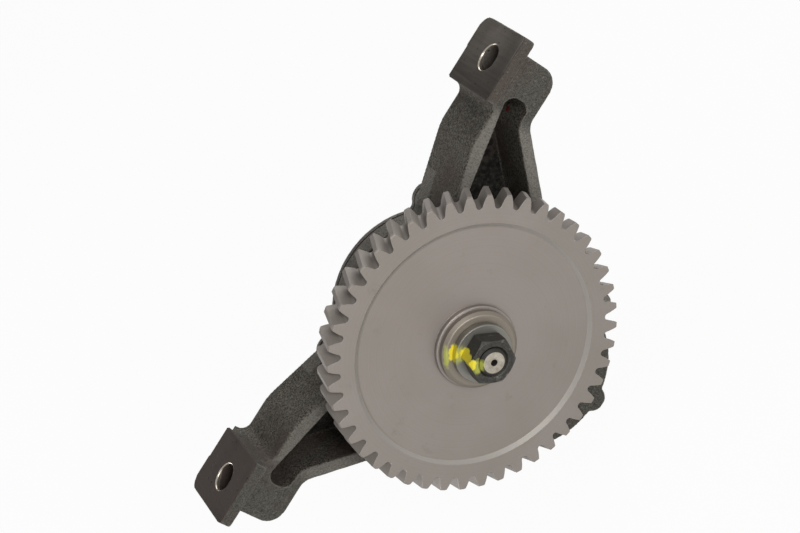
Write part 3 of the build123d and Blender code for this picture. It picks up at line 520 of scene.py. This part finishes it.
def shaft_steel(name):
    """The drive shaft's ground steel, with painted shade on the thread round its end face and in the centre hole.
    """
    s = Shader(name)
    radius = s.radius(DRIVE_X, DRIVE_Z)
    fine = s.noise(SHAFT_FINE, 3.0, 0.7)
    patches = s.noise(SHAFT_PATCHES, 3.0, 0.6)
    colour = s.mix(s.ramp(patches, 0.35, 0.65), SHAFT_LIGHT, SHAFT_DARK)
    colour = s.mix(s.ramp(fine, 0.56, 0.66, 0.0, 0.6), colour, STEEL_BRIGHT)
    # Painted shade: a dark ring round the end face, and the centre hole
    thread = s.ramp(radius, SHAFT_FACE_R, SHAFT_FACE_R + RING_FADE)
    hole = s.ramp(radius, CENTRE_HOLE_R, CENTRE_HOLE_R - RING_FADE)
    front = s.ramp(s.y, WASHER_FACE_Y, WASHER_FACE_Y - SHAFT_FRONT_FADE)
    dark = s.times(s.math("MAXIMUM", thread, hole), front)
    colour = s.mix(dark, colour, THREAD_AND_HOLE_SHADE)
    rough = s.between(dark, s.ramp(patches, 0.3, 0.7, 0.3, 0.5), DARK_RING_ROUGHNESS)
    metallic = s.between(dark, SHAFT_METAL, DARK_RING_METAL)
    return with_paint(s, colour, rough, metallic, fine, SHAFT_BUMP, s.rounded(TURNED_EDGE))


NUT_FINE = 1400.0
NUT_RUB = 260.0
NUT_EDGE = 0.4 * MM
NUT_WEAR_EDGE = 0.45 * MM
NUT_BUMP = 0.00005
NUT_METAL = 0.45


def black_nut(name):
    """Phosphated nut, worn to bare metal on its corners."""
    s = Shader(name)
    fine = s.noise(NUT_FINE, 3.0, 0.6)
    rub = s.noise(NUT_RUB, 3.0, 0.6)
    colour = s.mix(s.ramp(fine, 0.35, 0.7, 0.0, 0.3), OXIDE_BLACK, OXIDE_WORN)
    edge = s.times(s.edges(NUT_WEAR_EDGE), s.ramp(rub, 0.35, 0.6, 0.2, 1.0))
    scuffs = s.ramp(rub, 0.62, 0.70, 0.0, 0.8)
    colour = s.mix(s.math("MAXIMUM", edge, scuffs), colour, OXIDE_WORN)
    rough = s.ramp(fine, 0.3, 0.7, 0.38, 0.55)
    return with_paint(s, colour, rough, NUT_METAL, fine, NUT_BUMP, s.rounded(NUT_EDGE))


METAL_MOTTLE = 160.0
METAL_FINE = 1800.0
METAL_EDGE = 0.3 * MM
METAL_BUMP = 0.00004
METAL_SHARE = 0.85


def plain_metal(name, light, dark):
    """Plated, ground or drawn metal with soft mottling."""
    s = Shader(name)
    broad = s.noise(METAL_MOTTLE, 4.0, 0.6)
    fine = s.noise(METAL_FINE, 2.0, 0.5)
    colour = s.mix(s.ramp(broad, 0.35, 0.65), light, dark)
    colour = s.mix(s.times(s.edges(METAL_EDGE), 0.4), colour, STEEL_BRIGHT)
    return s.finish(
        Base_Color=colour,
        Metallic=METAL_SHARE,
        Roughness=s.ramp(broad, 0.3, 0.7, 0.25, 0.42),
        Normal=s.bump(fine, METAL_BUMP, 0.5, s.rounded(METAL_EDGE)),
    )


RUBBER_DUSTING = 420.0
RUBBER_BUMP = 0.00005


def rubber(name):
    """Moulded seal rubber with a little dust."""
    s = Shader(name)
    dust = s.noise(RUBBER_DUSTING, 4.0, 0.6)
    return s.finish(
        Base_Color=s.mix(s.ramp(dust, 0.5, 0.72, 0.0, 0.5), RUBBER, RUBBER_DUST),
        Roughness=s.ramp(dust, 0.3, 0.7, 0.45, 0.65),
        Normal=s.bump(dust, RUBBER_BUMP, 0.4),
    )


# Castings

CAST_VOXEL = 0.6 * MM
WELD_DISTANCE = 0.002 * MM
SMOOTHING_SHARE = 0.5
CAST_SMOOTHING = 4
CORNER_SMOOTHING = 90
EDGE_REACH = 10
# The box round each foot's inner rear corner: |X| from and to, Y from and Z from, in millimetres
CORNER_X = (90.0, 101.5)
CORNER_Y = 18.5
CORNER_Z = -8.5
# The castings' uneven surface, as the wavelength and the height of each noise
SWELL = (9.0 * MM, 0.10 * MM)
SAND = (1.5 * MM, 0.07 * MM)
# How far a normal turns to the front where a rim starts to be lightened, as rubbed wear and painted highlight, and
# how soon it is so fully
FACING_START = 0.5
FACING_RANGE = 0.3
# How far the surface bulges, in voxels, where an edge starts to be lightened, as wear and painted highlight, and
# how soon it is so fully
BULGE_START = 0.10
BULGE_RANGE = 0.5
# The arms' front rims, lightened as rubbed wear and painted highlight, and the hollows behind them, which get
# painted shade
BODY_REACH = 45.0 * MM
ARM_FRONT_Y = -8.0 * MM
RIM_BACK_Y = ARM_FRONT_Y + 1.2 * MM
HOLLOW_FRONT_Y = ARM_FRONT_Y + 4.0 * MM
ARM_RIM_END = 102.0 * MM
ARM_RIM_FADE = 6.0 * MM
FOOT_RIM_SHARE = 0.12
LEFT_RIM_SHARE = 0.65
# The body's rubbed joint flange
FLANGE_FRONT_Y = 19.5 * MM
FLANGE_LOW_Z = -72.0 * MM
FLANGE_REACH_X = 58.0 * MM
FLANGE_RUB = 0.75
FLANGE_TILT = 0.6
# How far the masks of machined faces reach past them, and where two of them end
CUT_DEPTH = 0.35 * MM
CUT_MARGIN = 0.6 * MM
PORT_MARGIN = 0.3 * MM
PORT_RISE = 24.0 * MM
BOSS_R = 20.0 * MM
BOSS_FACE_Y = -15.3 * MM
# The rotor chambers, opened so that the uneven surface stays clear of the rotors
ROTOR_CLEARANCE = 0.28 * MM
CHAMBER_MARGIN = 0.4 * MM
WALL_DEPTH = 0.5 * MM
FLOOR_MARGIN = 0.1 * MM
# The dab of red paint in the right arm's hollow
RED_DAB = np.array((102.0, 9.6, -29.3)) * MM
RED_DAB_R = 1.7 * MM
RED_DAB_FADE = 0.6 * MM


def add_object(name, data):
    """A new object in the scene, with the mesh, lamp or camera given."""
    item = bpy.data.objects.new(name, data)
    bpy.context.scene.collection.objects.link(item)
    return item


def welded_copy(node):
    """A copy of a node's mesh, with its doubled corners joined."""
    mesh = nodes[node].data.copy()
    work = bmesh.new()
    work.from_mesh(mesh)
    bmesh.ops.remove_doubles(work, verts=work.verts, dist=WELD_DISTANCE)
    work.to_mesh(mesh)
    work.free()
    return mesh


def grid_mesh(piece):
    """The mesh of a piece, rebuilt as an even grid of small quads."""
    modifier = piece.modifiers.new("skin", "REMESH")
    modifier.mode = "VOXEL"
    modifier.voxel_size = CAST_VOXEL
    modifier.use_smooth_shade = True
    depsgraph = bpy.context.evaluated_depsgraph_get()
    mesh = bpy.data.meshes.new_from_object(piece.evaluated_get(depsgraph))
    piece.modifiers.clear()
    return mesh


def vertex_array(mesh, attribute="co"):
    values = np.empty(len(mesh.vertices) * 3, np.float64)
    mesh.vertices.foreach_get(attribute, values)
    return values.reshape(-1, 3)


def put_points(mesh, points):
    mesh.vertices.foreach_set("co", points.astype(np.float32).ravel())
    mesh.update()


def put_attribute(mesh, name, values):
    layer = mesh.attributes.new(name, "FLOAT", "POINT")
    layer.data.foreach_set("value", values.astype(np.float32))


def edge_array(mesh):
    edges = np.empty(len(mesh.edges) * 2, np.int64)
    mesh.edges.foreach_get("vertices", edges)
    return edges.reshape(-1, 2)


def smoothed(points, edges, passes, share=1.0):
    """Points moved towards the mean of their neighbours, each by its share."""
    points = points.copy()
    counts = np.bincount(edges.ravel(), minlength=len(points)).astype(float)
    for _ in range(passes):
        total = np.zeros_like(points)
        for axis in range(3):
            total[:, axis] = np.bincount(edges[:, 0], points[edges[:, 1], axis], len(points))
            total[:, axis] += np.bincount(edges[:, 1], points[edges[:, 0], axis], len(points))
        points += SMOOTHING_SHARE * share * (total / counts[:, None] - points)
    return points


def surface_noise(points, wavelength, seed):
    """Smooth noise from -1 to 1 at each point."""
    offset = Vector((seed, 2.0 * seed, 3.0 * seed))
    return np.array([noise.noise(Vector(p) / wavelength + offset) for p in points])


def foot_corner(points):
    """1 near the inner rear corner of each foot, where its root blends into the arm."""
    x, y, z = np.abs(points[:, 0]) / MM, points[:, 1] / MM, points[:, 2] / MM
    near = (x > CORNER_X[0]) & (x < CORNER_X[1]) & (y > CORNER_Y) & (z > CORNER_Z)
    return near.astype(float)


def wear_and_painted_light(points, normals):
    """The rims lightened as rubbed wear and painted highlight, and the painted shade in the hollows between the
    arms' rims, both from 0 to 1.
    """
    x, y, z = points.T
    facing = np.clip((-normals[:, 1] - FACING_START) / FACING_RANGE, 0.0, 1.0)
    facing *= np.abs(x) > BODY_REACH
    rim_wear_and_highlight = facing * (y < RIM_BACK_Y)
    rim_wear_and_highlight *= np.clip((ARM_RIM_END - np.abs(x)) / ARM_RIM_FADE, FOOT_RIM_SHARE, 1.0)
    rim_wear_and_highlight *= np.where(x < 0.0, LEFT_RIM_SHARE, 1.0)
    deep_shade = facing * (y > HOLLOW_FRONT_Y)
    flange = (np.abs(normals[:, 1]) < FLANGE_TILT) & (y > FLANGE_FRONT_Y) & (z > FLANGE_LOW_Z)
    flange &= np.abs(x) < FLANGE_REACH_X
    return np.maximum(rim_wear_and_highlight, np.where(flange, FLANGE_RUB, 0.0)), deep_shade


def cast_copy(node, name, machined_mask, dab_mask=None, clearance=None):
    """A casting's visible skin: soft edges and an uneven surface, flat where a tool has cut it."""
    piece = add_object(name, welded_copy(node))
    mesh = grid_mesh(piece)
    piece.data = mesh
    points = vertex_array(mesh)
    edges = edge_array(mesh)
    cut = machined_mask(points)
    free = (1.0 - cut)[:, None]
    points = smoothed(points, edges, CAST_SMOOTHING, free)
    points = smoothed(points, edges, CORNER_SMOOTHING, free * foot_corner(points)[:, None])
    put_points(mesh, points)
    normals = vertex_array(mesh, "normal")
    wide = smoothed(points, edges, EDGE_REACH)
    bulge = np.einsum("ij,ij->i", points - wide, normals) / CAST_VOXEL
    rim_wear_and_highlight, deep_shade = wear_and_painted_light(points, normals)
    swell = surface_noise(points, SWELL[0], 1.0) * SWELL[1]
    sand = surface_noise(points, SAND[0], 2.0) * SAND[1]
    points += normals * ((swell + sand) * (1.0 - cut))[:, None]
    if clearance:
        clearance(points)
    low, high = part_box(node)
    put_points(mesh, np.clip(points, np.array(low), np.array(high)))
    # The edge and rim masks lighten the iron as wear and painted highlight, and the deep mask darkens hollows as
    # painted shade
    put_attribute(mesh, "edge", np.clip((bulge - BULGE_START) / BULGE_RANGE, 0.0, 1.0))
    put_attribute(mesh, "rim_wear_and_highlight", rim_wear_and_highlight)
    put_attribute(mesh, "deep_shade", deep_shade)
    put_attribute(mesh, "machined", cut)
    put_attribute(mesh, "dab", dab_mask(points) if dab_mask else np.zeros(len(points)))
    return piece


def hole_distance(points):
    """Distance from the nearer foot hole's axis."""
    return np.hypot(np.abs(points[:, 0]) - FOOT_HOLE_X, points[:, 1])


def inner_walls(points):
    """The walls and the floors of the rotor chambers."""
    x, y, z = points.T
    upper = np.hypot(x - DRIVE_X, z - DRIVE_Z) < ROTOR_R + CUT_MARGIN
    lower = np.hypot(x - DRIVE_X, z - IDLER_Z) < ROTOR_R + CUT_MARGIN
    return (upper | lower) & (y > rotor_low.y - CUT_MARGIN) & (y < rotor_high.y + CUT_MARGIN)


def housing_machined(points):
    x, y, z = points.T
    reach = np.hypot(x - DRIVE_X, z - DRIVE_Z)
    feet = z > -CUT_DEPTH
    holes = hole_distance(points) < FOOT_HOLE_R + CUT_MARGIN
    joint = y > HOUSING_JOINT_Y - CUT_DEPTH
    ports = (np.abs(np.abs(x) - PORT_FACE_X) < PORT_MARGIN) & (z < IDLER_Z + PORT_RISE)
    front_boss = (reach < BOSS_R) & (y < BOSS_FACE_Y)
    return (feet | holes | joint | ports | front_boss | inner_walls(points)).astype(float)


def clear_rotors(points):
    """Move the chambers' walls and floor a little away from the rotors that turn in them."""
    y = points[:, 1]
    inside = (y > rotor_low.y - CHAMBER_MARGIN) & (y < rotor_high.y + CHAMBER_MARGIN)
    wall_r = ROTOR_R + ROTOR_CLEARANCE
    for centre_z in (DRIVE_Z, IDLER_Z):
        offset = np.stack((points[:, 0] - DRIVE_X, points[:, 2] - centre_z), axis=1)
        reach = np.linalg.norm(offset, axis=1)
        wall = inside & (reach > ROTOR_R - WALL_DEPTH) & (reach < wall_r)
        offset[wall] *= (wall_r / reach[wall])[:, None]
        points[wall, 0] = DRIVE_X + offset[wall, 0]
        points[wall, 2] = centre_z + offset[wall, 1]
        near_floor = np.abs(y - rotor_low.y) < CHAMBER_MARGIN
        points[near_floor & (reach < wall_r + FLOOR_MARGIN), 1] = rotor_low.y - ROTOR_CLEARANCE


def housing_dab(points):
    distance = np.linalg.norm(points - RED_DAB, axis=1)
    return np.clip((RED_DAB_R - distance) / RED_DAB_FADE, 0.0, 1.0)


def cover_machined(points):
    return (points[:, 1] < COVER_JOINT_Y + CUT_DEPTH).astype(float)


housing = cast_copy("pump_housing", "bracket_casting", housing_machined, housing_dab, clear_rotors)
cover = cast_copy("rear_cover", "cover_casting", cover_machined)
for piece, node, slot_name in (
    (housing, "pump_housing", "cast_iron"),
    (cover, "rear_cover", "cover_iron"),
):
    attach(piece, "root")
    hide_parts(node)

iron = cast_iron("rough_cast_iron")
for piece in (housing, cover):
    piece.data.materials.clear()
    piece.data.materials.append(iron)

# The relief spring, copied into a mesh of its own; the piston's travel is read from the slide joint
slide = next(joint for joint in frame["joints"] if joint["name"] == "relief_slide")
spring = add_object("valve_spring", nodes["relief_spring"].data.copy())
spring_travel = max(abs(limit) for limit in slide["range_m"])
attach(spring, "root")
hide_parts("relief_spring")
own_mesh(spring)

# Finishes of the carried-over pieces
finishes = {
    "drive_gear": turned_steel("turned_gear_steel", GEAR_GREY, GEAR_COOL, GEAR_SMUDGE_AND_SHADE, HUB_FILM),
    "gear_washer": turned_steel(
        "turned_washer_steel", WASHER_GREY, WASHER_SHADE, STEEL_SHADE, WASHER_GREY, (0.3, 0.45), 0.7
    ),
    "drive_shaft": shaft_steel("ground_shaft_steel"),
    "gear_nut": black_nut("phosphated_nut"),
    "cover_screws": plain_metal("zinc_plated_screws", ZINC, ZINC_WARM),
    "relief_plug": plain_metal("zinc_plated_plug", ZINC, ZINC_WARM),
    "cover_dowels": plain_metal("ground_dowels", STEEL_BRIGHT, STEEL_GREY),
    "idler_shaft": plain_metal("ground_idler_shaft", STEEL_BRIGHT, STEEL_GREY),
    "relief_piston": plain_metal("ground_piston", STEEL_BRIGHT, STEEL_GREY),
    "drive_rotor": plain_metal("ground_drive_rotor", STEEL_GREY, STEEL_SHADE),
    "idler_rotor": plain_metal("ground_idler_rotor", STEEL_GREY, STEEL_SHADE),
    "rotor_key": plain_metal("drawn_rotor_key", STEEL_GREY, STEEL_SHADE),
    "gear_key": plain_metal("drawn_gear_key", STEEL_GREY, STEEL_SHADE),
    "front_bush": plain_metal("front_bronze_bush", BRONZE, BRONZE_DARK),
    "rear_bush": plain_metal("rear_bronze_bush", BRONZE, BRONZE_DARK),
    "idler_bush": plain_metal("idler_bronze_bush", BRONZE, BRONZE_DARK),
    "relief_plug_washer": plain_metal("copper_washer", COPPER, COPPER_DARK),
    "pressure_port_seal": rubber("pressure_seal_rubber"),
    "suction_port_seal": rubber("suction_seal_rubber"),
}
for node, material in finishes.items():
    for slot in nodes[node].material_slots:
        slot.material = material
spring.data.materials.clear()
spring.data.materials.append(plain_metal("spring_wire", STEEL_SHADE, OXIDE_BLACK))

# Floor, light and camera

FLOOR_SIZE = 40.0
FLOOR_GAP = 0.0005
FLOOR_GLOW = 0.95
WORLD_STRENGTH = 0.22
# Each lamp's name, place, size and power
LAMPS = (
    ("key_light", (0.42, -1.4, 0.5), 0.6, 14.0),
    ("fill_light", (-0.3, -1.45, 0.0), 0.8, 7.0),
    ("left_back_light", (-1.15, 0.85, 0.0), 0.7, 14.0),
    ("right_back_light", (1.15, 0.85, 0.0), 0.7, 14.0),
)


def seen_rays(tree):
    """1 for rays that show the background: to the camera, in reflections and through glass."""
    path = tree.nodes.new("ShaderNodeLightPath")
    seen = path.outputs["Is Camera Ray"]
    for ray in ("Is Glossy Ray", "Is Transmission Ray"):
        either = tree.nodes.new("ShaderNodeMath")
        either.operation = "MAXIMUM"
        tree.links.new(seen, either.inputs[0])
        tree.links.new(path.outputs[ray], either.inputs[1])
        seen = either.outputs[0]
    return seen


def pale_floor():
    """A plain pale floor that keeps the object's shadow and looks white to the camera."""
    s = Shader("pale_floor")
    diffuse = s.new("ShaderNodeBsdfDiffuse")
    s.set(diffuse, "Color", FLOOR_PALE)
    glow = s.new("ShaderNodeEmission")
    s.set(glow, "Strength", 1.0)
    shader = s.new("ShaderNodeMixShader")
    s.set(shader, 0, s.times(seen_rays(s.tree), FLOOR_GLOW))
    s.set(shader, 1, diffuse.outputs[0])
    s.set(shader, 2, glow.outputs[0])
    output = s.tree.nodes["Material Output"]
    s.tree.links.new(shader.outputs[0], output.inputs["Surface"])
    return s.material


def add_floor():
    mesh = bpy.data.meshes.new("floor")
    half = FLOOR_SIZE / 2
    z = cad_box[0].z - FLOOR_GAP
    corners = [(sx * half, sy * half, z) for sx, sy in ((-1, -1), (1, -1), (1, 1), (-1, 1))]
    mesh.from_pydata(corners, [], [(0, 1, 2, 3)])
    mesh.materials.append(pale_floor())
    return add_object("floor", mesh)


def studio_world():
    """Soft even light, and white where the camera or a reflection looks past the floor."""
    world = bpy.data.worlds.new("studio")
    world.use_nodes = True
    tree = world.node_tree
    soft = tree.nodes["Background"]
    soft.inputs["Color"].default_value = WHITE
    soft.inputs["Strength"].default_value = WORLD_STRENGTH
    white = tree.nodes.new("ShaderNodeBackground")
    white.inputs["Strength"].default_value = 1.0
    mixer = tree.nodes.new("ShaderNodeMixShader")
    tree.links.new(seen_rays(tree), mixer.inputs[0])
    tree.links.new(soft.outputs[0], mixer.inputs[1])
    tree.links.new(white.outputs[0], mixer.inputs[2])
    tree.links.new(mixer.outputs[0], tree.nodes["World Output"].inputs["Surface"])
    bpy.context.scene.world = world


def soft_light(name, place, size, power):
    """A square lamp that faces the pump."""
    lamp = bpy.data.lights.new(name, "AREA")
    lamp.size = size
    lamp.energy = power
    holder = add_object(name, lamp)
    holder.location = place
    aim = Vector((0.0, 0.0, DRIVE_Z)) - Vector(place)
    holder.rotation_mode = "QUATERNION"
    holder.rotation_quaternion = aim.to_track_quat("-Z", "Y")


def add_camera():
    """The camera, at the photograph's viewing angle."""
    lens = bpy.data.cameras.new("camera")
    lens.sensor_width = SENSOR_WIDTH
    lens.lens = CAMERA_LENS
    lens.clip_start = CLIP_NEAR
    lens.clip_end = CLIP_FAR
    camera = add_object("camera", lens)
    turn = Matrix((CAMERA_RIGHT, CAMERA_UP, CAMERA_BACK)).transposed().to_4x4()
    camera.matrix_world = Matrix.Translation(CAMERA_PLACE) @ turn
    return camera


floor = add_floor()
studio_world()
for lamp in LAMPS:
    soft_light(*lamp)
bpy.context.scene.camera = add_camera()
bpy.context.scene.view_settings.view_transform = "Standard"
